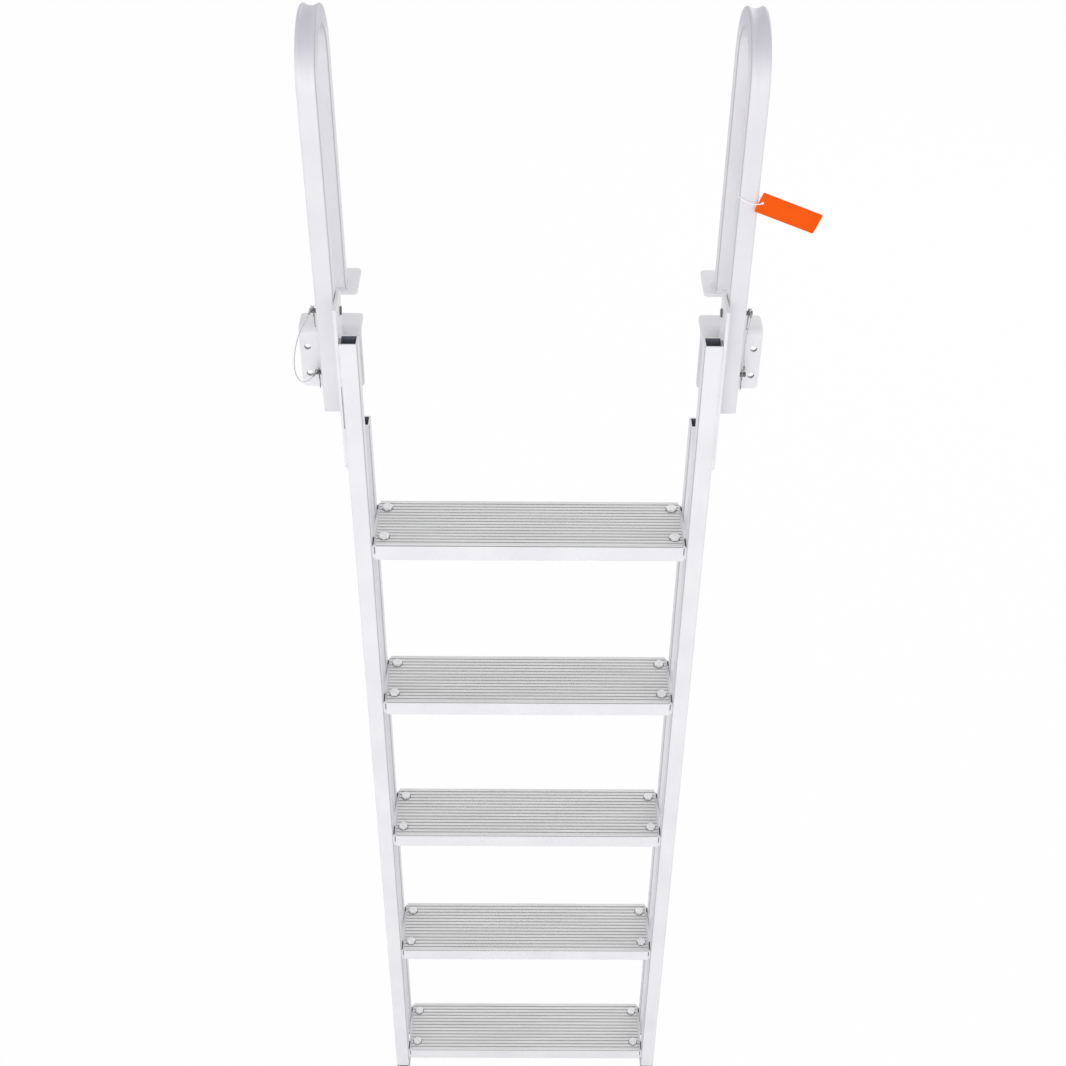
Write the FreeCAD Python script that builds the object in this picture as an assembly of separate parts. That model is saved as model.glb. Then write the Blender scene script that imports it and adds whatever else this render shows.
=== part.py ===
"""Flip-up dock ladder: two handrails bolted to the dock, and a five-step ladder that swings up between them.

Everything is drawn about the middle of the ladder: X to the right, Y towards the dock, Z up.
Y = 0 is the face of the dock and Z = 0 is the middle of the brackets' bolt holes.
Each piece is then moved over by ORIGIN_X, which puts the origin on the left bracket's dock face.
"""
import FreeCAD
import Part
import math
import os
from FreeCAD import Vector

# Square tube of the rails and handrails
TUBE = 24.0
TUBE_WALL = 2.5
TUBE_CORNER = 3.0

# Ladder
LADDER_WIDTH = 480.0
LADDER_DEPTH = 93.0
LADDER_FRONT_TO_DOCK = 60.0
STEP_COUNT = 5
STEP_SPACING = 300.0
TOP_STEP_BELOW_DECK = 304.0
FRONT_RAIL_ABOVE_TOP_STEP = 318.0
REAR_RAIL_ABOVE_TOP_STEP = 150.0
RAIL_BELOW_LAST_STEP = 51.0

# Plastic caps in the rails' lower ends
CAP_FLANGE = 3.0
CAP_PLUG = 12.0
CAP_PLUG_GAP = 0.1

# Steps: a ring of square tube under a grooved tread, held by four bolts
STEP_DEPTH = 100.0
STEP_TUBE = 25.0
STEP_TUBE_WALL = 2.0
STEP_TUBE_EDGE = 1.8
STEP_CORNER = 6.0
TREAD_END_GAP = 4.5
TREAD_THICK = 2.6
RIB_COUNT = 15
GROOVE_DEPTH = 1.1
GROOVE_WIDTH = 2.3
BOLT_ACROSS_FLATS = 13.0
BOLT_HEAD_HEIGHT = 4.4
BOLT_SHANK = 6.0
BOLT_HOLE_GAP = 0.1
BOLT_SHANK_LENGTH = 14.0
BOLT_FROM_END = 11.0
BOLT_FROM_EDGE = 17.4

# Hinge plates welded to the outside of the ladder
HINGE_PLATE_THICK = 4.0
HINGE_PLATE_SETBACK = 1.0
HINGE_PLATE_ABOVE_PIN = 24.0
HINGE_PLATE_LENGTH = 243.0
HINGE_PLATE_TO_HANDRAIL = 1.0
HINGE_PLATE_TO_BRACKET = 5.0
HINGE_EAR_BEHIND_PIN = 15.0
HINGE_EAR_ABOVE_DECK = 18.0
HINGE_EAR_ROUND = 8.0
HINGE_PLATE_CHAMFER = 10.0
STOP_NOTCH_GAP = 0.3
STOP_NOTCH_FLARE = 4.0

# Handrails
HANDRAIL_SPREAD = 124.0
HANDRAIL_BEND_ABOVE_DECK = 325.0
HANDRAIL_BELOW_DECK = 106.0
SUNKEN_WALL_DEPTH = 3.0
SUNKEN_WALL_ROUND = 14.0

# Plates under the handrails' rear legs
FOOT_THICK = 5.0
FOOT_WIDTH = 54.0
FOOT_LENGTH = 64.0
FOOT_FRONT_LAP = 5.0
FOOT_CORNER = 6.0

# Brackets over the edge of the dock
BRACKET_THICK = 5.0
BRACKET_WIDTH = 80.0
BRACKET_BEND_INSIDE = 8.0
BRACKET_OVER_DECK = 34.0
BRACKET_CORNER = 6.0
BOLT_HOLE = 8.5
BOLT_HOLE_SPACING_X = 60.0
BOLT_HOLE_SPACING_Z = 40.0
BOLT_HOLE_TO_DECK = 22.0
BOLT_HOLE_TO_EDGE = 20.0

# Pins and their spring clips
PIN = 6.0
PIN_FIT = 0.05
PIN_HEAD = 11.0
PIN_HEAD_THICK = 1.6
PIN_HEAD_GAP = 0.3
PIN_END = 9.0
HINGE_PIN_ABOVE_DECK = 38.0
STOP_PIN_BELOW_HINGE = 91.0
CLIP_WIRE = 1.2
CLIP_FIT = 0.05
CLIP_TO_HANDRAIL = 4.0
CLIP_LEG_BELOW_PIN = 24.0

# Wire lanyards and the tag
LANYARD = 1.2
LANYARD_GAP = 0.1
STRING = 1.2
BAND_THICK = 0.5
BAND_HEIGHT = 1.6
BAND_Z = 244.0
TAG_LENGTH = 79.0
TAG_WIDTH = 26.0
TAG_THICK = 0.8
TAG_CORNER = 2.0
TAG_HOLE = 3.5
TAG_HOLE_FROM_END = 4.5
TAG_TILT = 21.5
TAG_HOLE_OUTWARD = 15.7
TAG_HOLE_FORWARD = 4.0
TAG_HOLE_BELOW_BAND = 5.5
BAND_END = 1.0
STRING_TO_SIDE = 0.2

# Places that follow from the sizes above
HALF_TUBE = TUBE / 2
RAIL_X = LADDER_WIDTH / 2 - HALF_TUBE
STEP_HALF_WIDTH = LADDER_WIDTH / 2 - TUBE
TREAD_WIDTH = 2 * (STEP_HALF_WIDTH - TREAD_END_GAP)
PLATE_X = LADDER_WIDTH / 2
HANDRAIL_X = PLATE_X + HINGE_PLATE_THICK + HINGE_PLATE_TO_HANDRAIL + HALF_TUBE
HANDRAIL_OUTSIDE = HANDRAIL_X + HALF_TUBE
CLIP_X = HANDRAIL_OUTSIDE + CLIP_TO_HANDRAIL
ORIGIN_X = HANDRAIL_X
DECK_Z = BOLT_HOLE_SPACING_Z / 2 + BOLT_HOLE_TO_DECK
FOOT_TOP = DECK_Z + FOOT_THICK
PIN_Y = -BRACKET_THICK - HALF_TUBE
LEG_FRONT = PIN_Y - HALF_TUBE
REAR_LEG_Y = PIN_Y + HANDRAIL_SPREAD
BEND_Z = DECK_Z + HANDRAIL_BEND_ABOVE_DECK
HINGE_Z = DECK_Z + HINGE_PIN_ABOVE_DECK
CLIP_BOW = PIN / 2 + CLIP_WIRE
CLIP_EYE = 3 * CLIP_WIRE
STOP_Z = HINGE_Z - STOP_PIN_BELOW_HINGE
LADDER_FRONT = -LADDER_FRONT_TO_DOCK
FRONT_RAIL_Y = LADDER_FRONT + HALF_TUBE
REAR_RAIL_Y = LADDER_FRONT + LADDER_DEPTH - HALF_TUBE
STEP_Y = LADDER_FRONT + STEP_DEPTH / 2
TOP_STEP_Z = DECK_Z - TOP_STEP_BELOW_DECK
RAIL_BOTTOM = TOP_STEP_Z - (STEP_COUNT - 1) * STEP_SPACING - RAIL_BELOW_LAST_STEP
SIDES = (("left", -1), ("right", 1))


def save(name, shape):
    """Move a piece over to the part's origin and write it."""
    placed = shape.copy()
    placed.translate(Vector(ORIGIN_X, 0, 0))
    placed.exportStep("parts/%s.step" % name)


def rod(start, end, diameter):
    """A round bar from one point to another."""
    run = end - start
    return Part.makeCylinder(diameter / 2, run.Length, start, run)


def across(sign, near, far, y, z, diameter):
    """A round bar along X on one side of the ladder, from the middle outwards."""
    return rod(Vector(sign * near, y, z), Vector(sign * far, y, z), diameter)


def rounded_block(width, depth, height, corner):
    """An upright block with rounded corners, centred in X and Y, with its bottom at Z = 0."""
    block = Part.makeBox(width, depth, height, Vector(-width / 2, -depth / 2, 0))
    upright = [edge for edge in block.Edges if abs(edge.BoundBox.ZLength - height) < 0.001]
    return block.makeFillet(corner, upright)


def bottom_face(block):
    """The lower face of an upright block."""
    return min(block.Faces, key=lambda face: face.BoundBox.ZMax)


def side_plate(sign, outline):
    """A hinge plate's thickness, from an outline of (Y, Z) points."""
    near = min(sign * PLATE_X, sign * (PLATE_X + HINGE_PLATE_THICK))
    corners = [Vector(near, y, z) for y, z in outline]
    face = Part.Face(Part.makePolygon(corners + corners[:1]))
    return face.extrude(Vector(HINGE_PLATE_THICK, 0, 0))


def smooth_path(points):
    """Straight runs joined by arcs, each as large as its two runs allow."""
    edges = []
    radii = []
    start = points[0]
    for before, corner, after in zip(points, points[1:], points[2:]):
        inward = (corner - before).normalize()
        outward = (after - corner).normalize()
        half_turn = inward.getAngle(outward) / 2
        reach = 0.45 * min((corner - before).Length, (after - corner).Length)
        radius = reach / math.tan(half_turn)
        to_centre = (outward - inward).normalize()
        centre = corner + to_centre * (radius / math.cos(half_turn))
        arc_start = corner - inward * reach
        arc_end = corner + outward * reach
        edges.append(Part.LineSegment(start, arc_start).toShape())
        edges.append(Part.Arc(arc_start, centre - to_centre * radius, arc_end).toShape())
        radii.append(radius)
        start = arc_end
    edges.append(Part.LineSegment(start, points[-1]).toShape())
    return Part.Wire(edges), radii


def wire_along(name, points, diameter):
    """A round wire or cord along a smooth path."""
    path, radii = smooth_path(points)
    ring = Part.Wire(Part.makeCircle(diameter / 2, points[0], points[1] - points[0]))
    tube = path.makePipeShell([ring], True, False)
    straight = path.Length * math.pi * diameter ** 2 / 4
    print("%s: length %.1f, least radius %.1f, volume %.4f of section by length"
          % (name, path.Length, min(radii), tube.Volume / straight))
    return tube


def rail(x, y, top):
    """A square tube of the ladder, open at its top."""
    outside = rounded_block(TUBE, TUBE, top - RAIL_BOTTOM, TUBE_CORNER)
    bore = TUBE - 2 * TUBE_WALL
    inside = Part.makeBox(bore, bore, top - RAIL_BOTTOM, Vector(-bore / 2, -bore / 2, 0))
    tube = outside.cut(inside)
    tube.translate(Vector(x, y, RAIL_BOTTOM))
    return tube


def rail_cap(x, y):
    """A plug with a flange, pushed into the lower end of a rail."""
    flange = rounded_block(TUBE, TUBE, CAP_FLANGE, TUBE_CORNER)
    plug = TUBE - 2 * TUBE_WALL - 2 * CAP_PLUG_GAP
    flange = flange.fuse(Part.makeBox(plug, plug, CAP_PLUG, Vector(-plug / 2, -plug / 2, CAP_FLANGE)))
    flange.translate(Vector(x, y, RAIL_BOTTOM - CAP_FLANGE))
    return flange


def bolt_places():
    """The four bolts of a step, near the corners of its tread."""
    x = TREAD_WIDTH / 2 - BOLT_FROM_END
    y = STEP_DEPTH / 2 - BOLT_FROM_EDGE
    return [(sign_x * x, STEP_Y + sign_y * y) for sign_x in (-1, 1) for sign_y in (-1, 1)]


def bolt_shanks(top, diameter):
    """The shanks of a step's bolts, or the holes for them, down from the top of the tread."""
    depth = Vector(0, 0, BOLT_SHANK_LENGTH)
    tops = [Vector(x, y, top) for x, y in bolt_places()]
    return [rod(start, start - depth, diameter) for start in tops]


def step_frame(top):
    """A ring of square tube with rounded corners, which fills the width between the rails."""
    width = 2 * STEP_HALF_WIDTH
    ring_top = top - TREAD_THICK
    outside = rounded_block(width, STEP_DEPTH, STEP_TUBE, STEP_CORNER)
    level = [edge for edge in outside.Edges if edge.BoundBox.ZLength < 0.001]
    outside = outside.makeFillet(STEP_TUBE_EDGE, level)
    middle = rounded_block(width - 2 * STEP_TUBE, STEP_DEPTH - 2 * STEP_TUBE, STEP_TUBE, STEP_CORNER)
    wall = STEP_TUBE_WALL
    bore = rounded_block(width - 2 * wall, STEP_DEPTH - 2 * wall, STEP_TUBE - 2 * wall, STEP_CORNER - wall)
    bore_middle = rounded_block(width - 2 * STEP_TUBE + 2 * wall, STEP_DEPTH - 2 * STEP_TUBE + 2 * wall,
                                STEP_TUBE - 2 * wall, STEP_CORNER + wall)
    bore = bore.cut(bore_middle)
    bore.translate(Vector(0, 0, wall))
    ring = outside.cut(middle).cut(bore)
    ring.translate(Vector(0, STEP_Y, ring_top - STEP_TUBE))
    return ring.cut(bolt_shanks(top, BOLT_SHANK + BOLT_HOLE_GAP))


def tread(top):
    """A plate with grooves along its length, which lies on the step's frame."""
    plate = Part.makeBox(TREAD_WIDTH, STEP_DEPTH, TREAD_THICK,
                         Vector(-TREAD_WIDTH / 2, STEP_Y - STEP_DEPTH / 2, top - TREAD_THICK))
    pitch = STEP_DEPTH / RIB_COUNT
    cuts = bolt_shanks(top, BOLT_SHANK + BOLT_HOLE_GAP)
    for index in range(1, RIB_COUNT):
        front = STEP_Y - STEP_DEPTH / 2 + index * pitch - GROOVE_WIDTH / 2
        cuts.append(Part.makeBox(TREAD_WIDTH, GROOVE_WIDTH, GROOVE_DEPTH,
                                 Vector(-TREAD_WIDTH / 2, front, top - GROOVE_DEPTH)))
    return plate.cut(cuts)


def step_bolts(top):
    """Four hexagon bolts with their heads on the ribs of the tread."""
    corner = BOLT_ACROSS_FLATS / 2 / math.cos(math.pi / 6)
    made = []
    for (x, y), shank in zip(bolt_places(), bolt_shanks(top, BOLT_SHANK)):
        angles = [turn * math.pi / 3 for turn in range(7)]
        outline = [Vector(x + corner * math.cos(angle), y + corner * math.sin(angle), top) for angle in angles]
        head = Part.Face(Part.makePolygon(outline)).extrude(Vector(0, 0, BOLT_HEAD_HEIGHT))
        made.append(head.fuse(shank))
    return Part.makeCompound(made)


def hinge_plate(sign):
    """The plate on the outside of a rail, which turns on the hinge pin.

    Below the deck it stays clear of the bracket, and above it an ear reaches back behind the pin.
    The lower notch is open towards the dock, so the plate rests against the stop pin and swings off it.
    """
    front = LADDER_FRONT + HINGE_PLATE_SETBACK
    back = -BRACKET_THICK - HINGE_PLATE_TO_BRACKET
    ear_back = PIN_Y + HINGE_EAR_BEHIND_PIN
    ear_low = DECK_Z + HINGE_EAR_ABOVE_DECK
    ear_step = ear_back - back
    top = HINGE_Z + HINGE_PLATE_ABOVE_PIN
    bottom = top - HINGE_PLATE_LENGTH
    chamfer = HINGE_PLATE_CHAMFER
    plate = side_plate(sign, [(front, top), (ear_back, top), (ear_back, ear_low + ear_step), (back, ear_low),
                              (back, bottom), (front + chamfer, bottom), (front, bottom + chamfer)])
    ear_corner = [edge for edge in plate.Edges
                  if edge.BoundBox.YMin > ear_back - 0.001 and edge.BoundBox.ZMin > top - 0.001]
    plate = plate.makeFillet(HINGE_EAR_ROUND, ear_corner)
    far = PLATE_X + HINGE_PLATE_THICK
    hole = across(sign, PLATE_X, far, PIN_Y, HINGE_Z, PIN + 2 * PIN_FIT)
    notch = PIN / 2 + STOP_NOTCH_GAP
    seat = across(sign, PLATE_X, far, PIN_Y, STOP_Z, 2 * notch)
    flare = notch + STOP_NOTCH_FLARE
    mouth = side_plate(sign, [(PIN_Y, STOP_Z - notch), (back, STOP_Z - flare),
                              (back, STOP_Z + flare), (PIN_Y, STOP_Z + notch)])
    return plate.cut([hole, seat, mouth])


def handrail_form(x, size, corner, inset):
    """The handrail's solid outer form, or the bore in it, with the bend's outer wall sunken in."""
    centre_y = (PIN_Y + REAR_LEG_Y) / 2
    leg_bottom = DECK_Z - HANDRAIL_BELOW_DECK
    front = rounded_block(size, size, BEND_Z - leg_bottom, corner)
    front.translate(Vector(x, PIN_Y, leg_bottom))
    rear = rounded_block(size, size, BEND_Z - FOOT_TOP, corner)
    rear.translate(Vector(x, REAR_LEG_Y, FOOT_TOP))
    section = bottom_face(rounded_block(size, size, 1, corner))
    section.translate(Vector(x, PIN_Y, BEND_Z))
    bend = section.revolve(Vector(x, centre_y, BEND_Z), Vector(-1, 0, 0), 180)
    reach = HANDRAIL_SPREAD / 2 + HALF_TUBE + SUNKEN_WALL_ROUND
    sunken = Part.makeTorus(reach, SUNKEN_WALL_ROUND + inset,
                            Vector(x, centre_y, BEND_Z - SUNKEN_WALL_DEPTH), Vector(1, 0, 0))
    return front.fuse([bend.cut(sunken), rear])


def handrail(x):
    """A square tube bent into a hoop, with its long leg on the bracket and its short one on the foot plate."""
    bore = handrail_form(x, TUBE - 2 * TUBE_WALL, TUBE_CORNER - TUBE_WALL, TUBE_WALL)
    hoop = handrail_form(x, TUBE, TUBE_CORNER, 0).cut(bore)
    holes = [rod(Vector(x - TUBE, PIN_Y, z), Vector(x + TUBE, PIN_Y, z), PIN + 2 * PIN_FIT)
             for z in (HINGE_Z, STOP_Z)]
    return hoop.cut(holes)


def foot_plate(x):
    """The flat plate on the deck that the handrail's rear leg is welded to."""
    plate = rounded_block(FOOT_WIDTH, FOOT_LENGTH, FOOT_THICK, FOOT_CORNER)
    plate.translate(Vector(x, REAR_LEG_Y - HALF_TUBE - FOOT_FRONT_LAP + FOOT_LENGTH / 2, DECK_Z))
    return plate


def bracket(x):
    """A wide plate bent over the edge of the dock, with four bolt holes in its upright face."""
    side = x - BRACKET_WIDTH / 2
    low = -BOLT_HOLE_SPACING_Z / 2 - BOLT_HOLE_TO_EDGE
    front = -BRACKET_THICK
    upright = Part.makeBox(BRACKET_WIDTH, BRACKET_THICK, FOOT_TOP - low, Vector(side, front, low))
    flange = Part.makeBox(BRACKET_WIDTH, BRACKET_OVER_DECK - front, BRACKET_THICK, Vector(side, front, DECK_Z))
    angle = upright.fuse(flange).removeSplitter()
    level = [edge for edge in angle.Edges if abs(edge.BoundBox.XLength - BRACKET_WIDTH) < 0.001]
    outer = [edge for edge in level if edge.BoundBox.YMax < front + 0.001 and edge.BoundBox.ZMin > DECK_Z + 0.001]
    angle = angle.makeFillet(BRACKET_BEND_INSIDE + BRACKET_THICK, outer)
    inner = [edge for edge in angle.Edges
             if edge.BoundBox.XLength > BRACKET_WIDTH - 0.001 and abs(edge.BoundBox.YMin) < 0.001
             and abs(edge.BoundBox.YMax) < 0.001 and abs(edge.BoundBox.ZMax - DECK_Z) < 0.001]
    angle = angle.makeFillet(BRACKET_BEND_INSIDE, inner)
    corners = [edge for edge in angle.Edges
               if edge.BoundBox.XLength < 0.001
               and (edge.BoundBox.ZMax < low + 0.001 or edge.BoundBox.YMin > BRACKET_OVER_DECK - 0.001)]
    angle = angle.makeFillet(BRACKET_CORNER, corners)
    holes = [rod(Vector(x + sign_x * BOLT_HOLE_SPACING_X / 2, front, sign_z * BOLT_HOLE_SPACING_Z / 2),
                 Vector(x + sign_x * BOLT_HOLE_SPACING_X / 2, 0, sign_z * BOLT_HOLE_SPACING_Z / 2), BOLT_HOLE)
             for sign_x in (-1, 1) for sign_z in (-1, 1)]
    return angle.cut(holes)


def pin(sign, z):
    """A pin with its head inside the ladder, through hinge plate and handrail, with a cross hole at its end."""
    head_outside = PLATE_X - PIN_HEAD_GAP
    head = across(sign, head_outside - PIN_HEAD_THICK, head_outside, PIN_Y, z, PIN_HEAD)
    shank = across(sign, head_outside, HANDRAIL_OUTSIDE + PIN_END, PIN_Y, z, PIN)
    cross_hole = rod(Vector(sign * CLIP_X, PIN_Y, z - PIN), Vector(sign * CLIP_X, PIN_Y, z + PIN),
                     CLIP_WIRE + 2 * CLIP_FIT)
    return head.fuse(shank).cut(cross_hole)


def spring_clip(name, sign, z):
    """A wire clip: a straight leg down through the pin, an eye on top, and a leg bowed round the pin's front."""
    bow = CLIP_BOW
    eye = CLIP_EYE
    route = [(0, -CLIP_LEG_BELOW_PIN), (0, bow), (-0.2 * eye, bow + 0.8 * eye), (-0.9 * eye, bow + 1.1 * eye),
             (-1.5 * eye, bow + 0.6 * eye), (-bow, 0.6 * bow), (-bow, -0.6 * bow), (-0.5 * bow, -2 * bow)]
    points = [Vector(sign * CLIP_X, PIN_Y + forward, z + up) for forward, up in route]
    return wire_along(name, points, CLIP_WIRE)


def tag_band(hole_at):
    """The string's turn round the inside, back and outside of the leg, and its short end behind the tag."""
    size = TUBE + 2 * BAND_THICK
    band = rounded_block(size, size, BAND_HEIGHT, TUBE_CORNER + BAND_THICK)
    band = band.cut(rounded_block(TUBE, TUBE, BAND_HEIGHT, TUBE_CORNER))
    band = band.cut(Part.makeBox(size, BAND_THICK + BAND_END, BAND_HEIGHT, Vector(-size / 2, -size / 2, 0)))
    band.translate(Vector(HANDRAIL_X, PIN_Y, BAND_Z - BAND_HEIGHT / 2))
    start = Vector(HANDRAIL_OUTSIDE + BAND_THICK + STRING / 6, LEG_FRONT + TUBE_CORNER, BAND_Z)
    return band.fuse(rod(start, hole_at + Vector(0, STRING / 2 + LANYARD_GAP, 0), STRING))


def hang_tag(hole_at):
    """A flat tag that faces forward and slopes down from its hole."""
    tag = rounded_block(TAG_LENGTH, TAG_WIDTH, TAG_THICK, TAG_CORNER)
    hole_x = TAG_HOLE_FROM_END - TAG_LENGTH / 2
    tag = tag.cut(Part.makeCylinder(TAG_HOLE / 2, TAG_THICK, Vector(hole_x, 0, 0)))
    tag.translate(Vector(-hole_x, 0, 0))
    tag.rotate(Vector(0, 0, 0), Vector(1, 0, 0), 90)
    tag.rotate(Vector(0, 0, 0), Vector(0, 1, 0), TAG_TILT)
    tag.translate(hole_at)
    return tag


os.makedirs("parts", exist_ok=True)

for side, sign in SIDES:
    save("%s_handrail" % side, handrail(sign * HANDRAIL_X))
    save("%s_foot_plate" % side, foot_plate(sign * HANDRAIL_X))
    save("%s_bracket" % side, bracket(sign * HANDRAIL_X))
    save("%s_hinge_pin" % side, pin(sign, HINGE_Z))
    save("%s_stop_pin" % side, pin(sign, STOP_Z))
    save("%s_hinge_clip" % side, spring_clip("hinge clip", sign, HINGE_Z))
    save("%s_stop_clip" % side, spring_clip("stop clip", sign, STOP_Z))
    save("%s_hinge_plate" % side, hinge_plate(sign))
    save("%s_front_rail" % side, rail(sign * RAIL_X, FRONT_RAIL_Y, TOP_STEP_Z + FRONT_RAIL_ABOVE_TOP_STEP))
    save("%s_rear_rail" % side, rail(sign * RAIL_X, REAR_RAIL_Y, TOP_STEP_Z + REAR_RAIL_ABOVE_TOP_STEP))
    caps = [rail_cap(sign * RAIL_X, y) for y in (FRONT_RAIL_Y, REAR_RAIL_Y)]
    save("%s_rail_caps" % side, Part.makeCompound(caps))

for number in range(STEP_COUNT):
    step_top = TOP_STEP_Z - number * STEP_SPACING
    save("step_frame_%d" % (number + 1), step_frame(step_top))
    save("step_tread_%d" % (number + 1), tread(step_top))
    save("step_bolts_%d" % (number + 1), step_bolts(step_top))



def by_clips(sign, outward, forward, share):
    """A point of a lanyard, at a share of the height from the stop pin up to the hinge pin."""
    return Vector(sign * (CLIP_X + outward), PIN_Y - forward, STOP_Z + share * STOP_PIN_BELOW_HINGE)


def lanyard_route(sign, hanging):
    """A lanyard's route: from the eye of the upper clip to the eye of the lower one."""
    beside = sign * (CLIP_X + CLIP_WIRE / 2 + LANYARD / 2 + LANYARD_GAP)
    upper = Vector(beside, PIN_Y - 0.9 * CLIP_EYE, HINGE_Z + CLIP_BOW + CLIP_EYE)
    lower = Vector(beside, PIN_Y - 1.2 * CLIP_EYE, STOP_Z + CLIP_BOW + 0.7 * CLIP_EYE)
    return [upper] + [by_clips(sign, *place) for place in hanging] + [lower]


# The left lanyard sags in a loop below the lower clip, and the right one hangs almost straight
LEFT_LANYARD = lanyard_route(-1, [(7.0, 6.0, 0.93), (17.5, 6.0, 0.74), (25.5, 5.0, 0.50), (31.0, 3.0, 0.21),
                                  (31.0, 2.5, -0.02), (24.5, 3.5, -0.15), (15.0, 4.8, -0.12), (6.0, 6.2, -0.02)])
RIGHT_LANYARD = lanyard_route(1, [(3.0, 7.5, 0.97), (1.0, 9.5, 0.86), (-1.2, 9.8, 0.68), (-1.6, 9.5, 0.49),
                                  (-1.0, 9.2, 0.31), (1.1, 8.2, 0.19)])
save("left_lanyard", wire_along("left lanyard", LEFT_LANYARD, LANYARD))
save("right_lanyard", wire_along("right lanyard", RIGHT_LANYARD, LANYARD))

# The tag's string leaves the front corner of the leg, and droops to the hole in the tag
TAG_HOLE_AT = Vector(HANDRAIL_X + TAG_HOLE_OUTWARD, LEG_FRONT - TAG_HOLE_FORWARD, BAND_Z - TAG_HOLE_BELOW_BAND)
STRING_END = TAG_HOLE_AT - Vector(0, TAG_THICK + STRING / 2 + LANYARD_GAP, 0)
STRING_START = Vector(HANDRAIL_X - HALF_TUBE + STRING_TO_SIDE, LEG_FRONT + STRING / 2, BAND_Z)
TAG_STRING = [
    STRING_START,
    Vector(STRING_START.x + 3, LEG_FRONT - TAG_HOLE_FORWARD, BAND_Z - STRING),
    Vector(HANDRAIL_X - 1, STRING_END.y - STRING / 2, TAG_HOLE_AT.z + STRING / 2),
    Vector(HANDRAIL_X + TAG_HOLE_OUTWARD / 2, STRING_END.y - STRING, TAG_HOLE_AT.z - STRING),
    STRING_END,
]
save("tag_band", tag_band(TAG_HOLE_AT))
save("tag_string", wire_along("tag string", TAG_STRING, STRING))
save("hang_tag", hang_tag(TAG_HOLE_AT))
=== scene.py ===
"""The flip-up dock ladder, dressed: coated square tube, ribbed treads, pins, clips, lanyards and tag."""
import bpy
import bmesh
import math
from mathutils import Matrix, Vector


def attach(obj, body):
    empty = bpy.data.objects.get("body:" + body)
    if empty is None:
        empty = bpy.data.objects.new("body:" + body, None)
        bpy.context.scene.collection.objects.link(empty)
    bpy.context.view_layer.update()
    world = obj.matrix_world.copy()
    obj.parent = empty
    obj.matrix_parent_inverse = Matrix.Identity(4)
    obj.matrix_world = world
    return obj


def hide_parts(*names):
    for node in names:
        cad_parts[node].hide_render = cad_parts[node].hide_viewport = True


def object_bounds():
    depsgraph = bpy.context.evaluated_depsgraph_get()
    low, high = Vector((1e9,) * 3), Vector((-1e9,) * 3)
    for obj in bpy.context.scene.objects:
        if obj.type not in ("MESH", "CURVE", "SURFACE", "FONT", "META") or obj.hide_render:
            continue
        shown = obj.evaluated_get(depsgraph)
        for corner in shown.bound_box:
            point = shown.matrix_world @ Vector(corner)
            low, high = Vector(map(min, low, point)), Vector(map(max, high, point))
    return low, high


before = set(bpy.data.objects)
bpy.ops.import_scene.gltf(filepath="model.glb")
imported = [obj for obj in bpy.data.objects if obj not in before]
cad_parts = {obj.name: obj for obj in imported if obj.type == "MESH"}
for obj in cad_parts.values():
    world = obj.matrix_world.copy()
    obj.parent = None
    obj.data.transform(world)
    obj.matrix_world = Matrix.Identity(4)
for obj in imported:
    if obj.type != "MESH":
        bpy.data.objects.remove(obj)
cad_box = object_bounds()

# The viewpoint: a 52 mm lens above the water and higher than the deck, that looks down at the steps.
# It is turned half a degree to the right, and tipped by about as much.
VIEWPOINT = (0.24852, -1.70418, 1.05788)
LENS = 51.90
LOOK_DOWN = math.radians(38.288)
TURNED = math.radians(-0.46)
TIPPED = math.radians(-0.584)
camera_data = bpy.data.cameras.new("camera")
camera_data.lens = LENS
camera_data.sensor_width = 36.0
camera_data.clip_end = 100.0
camera = bpy.data.objects.new("camera", camera_data)
bpy.context.collection.objects.link(camera)
turned = Matrix.Rotation(TURNED, 3, "Z")
forward = turned @ Vector((0, math.cos(LOOK_DOWN), -math.sin(LOOK_DOWN)))
level_right = turned @ Vector((1, 0, 0))
level_down = forward.cross(level_right)
right = math.cos(TIPPED) * level_right + math.sin(TIPPED) * level_down
down = math.cos(TIPPED) * level_down - math.sin(TIPPED) * level_right
stance = Matrix((right, -down, -forward)).transposed()
camera.matrix_world = Matrix.Translation(VIEWPOINT) @ stance.to_4x4()
bpy.context.scene.camera = camera

# The studio: a pale room, brighter round the sides than overhead, so upright faces are lighter than level
# ones. A broad soft lamp in front lifts the faces turned to the viewer, and a weaker one stands behind.
# The floor is near white to the camera, and keeps the ladder's shadow.
LEVEL_LIGHT = 1.21
OVERHEAD_LIGHT = 0.59
LAMP_SIZE = 3.0
LAMPS_AIM = (0.25, 0.0, -0.5)
FRONT_LAMP_WATTS = 60
BACK_LAMP_WATTS = 32
FLOOR_WHITE = 0.97
FLOOR_HALF = 12.0
FLOOR_DROP = 0.0005
scene = bpy.context.scene
scene.view_settings.view_transform = "Standard"
world = bpy.data.worlds.new("studio")
scene.world = world
world.use_nodes = True
sky = world.node_tree
sky.nodes.clear()
sky_out = sky.nodes.new("ShaderNodeOutputWorld")
sky_mix = sky.nodes.new("ShaderNodeMixShader")
sky_light = sky.nodes.new("ShaderNodeBackground")
sky_seen = sky.nodes.new("ShaderNodeBackground")
ray = sky.nodes.new("ShaderNodeLightPath")
seen = sky.nodes.new("ShaderNodeMath")
seen.operation = "MAXIMUM"
also = sky.nodes.new("ShaderNodeMath")
also.operation = "MAXIMUM"
sky_light.inputs["Color"].default_value = (0.99, 0.99, 1.0, 1)
way = sky.nodes.new("ShaderNodeTexCoord")
height = sky.nodes.new("ShaderNodeSeparateXYZ")
fade = sky.nodes.new("ShaderNodeMapRange")
fade.inputs["To Min"].default_value = LEVEL_LIGHT
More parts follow.
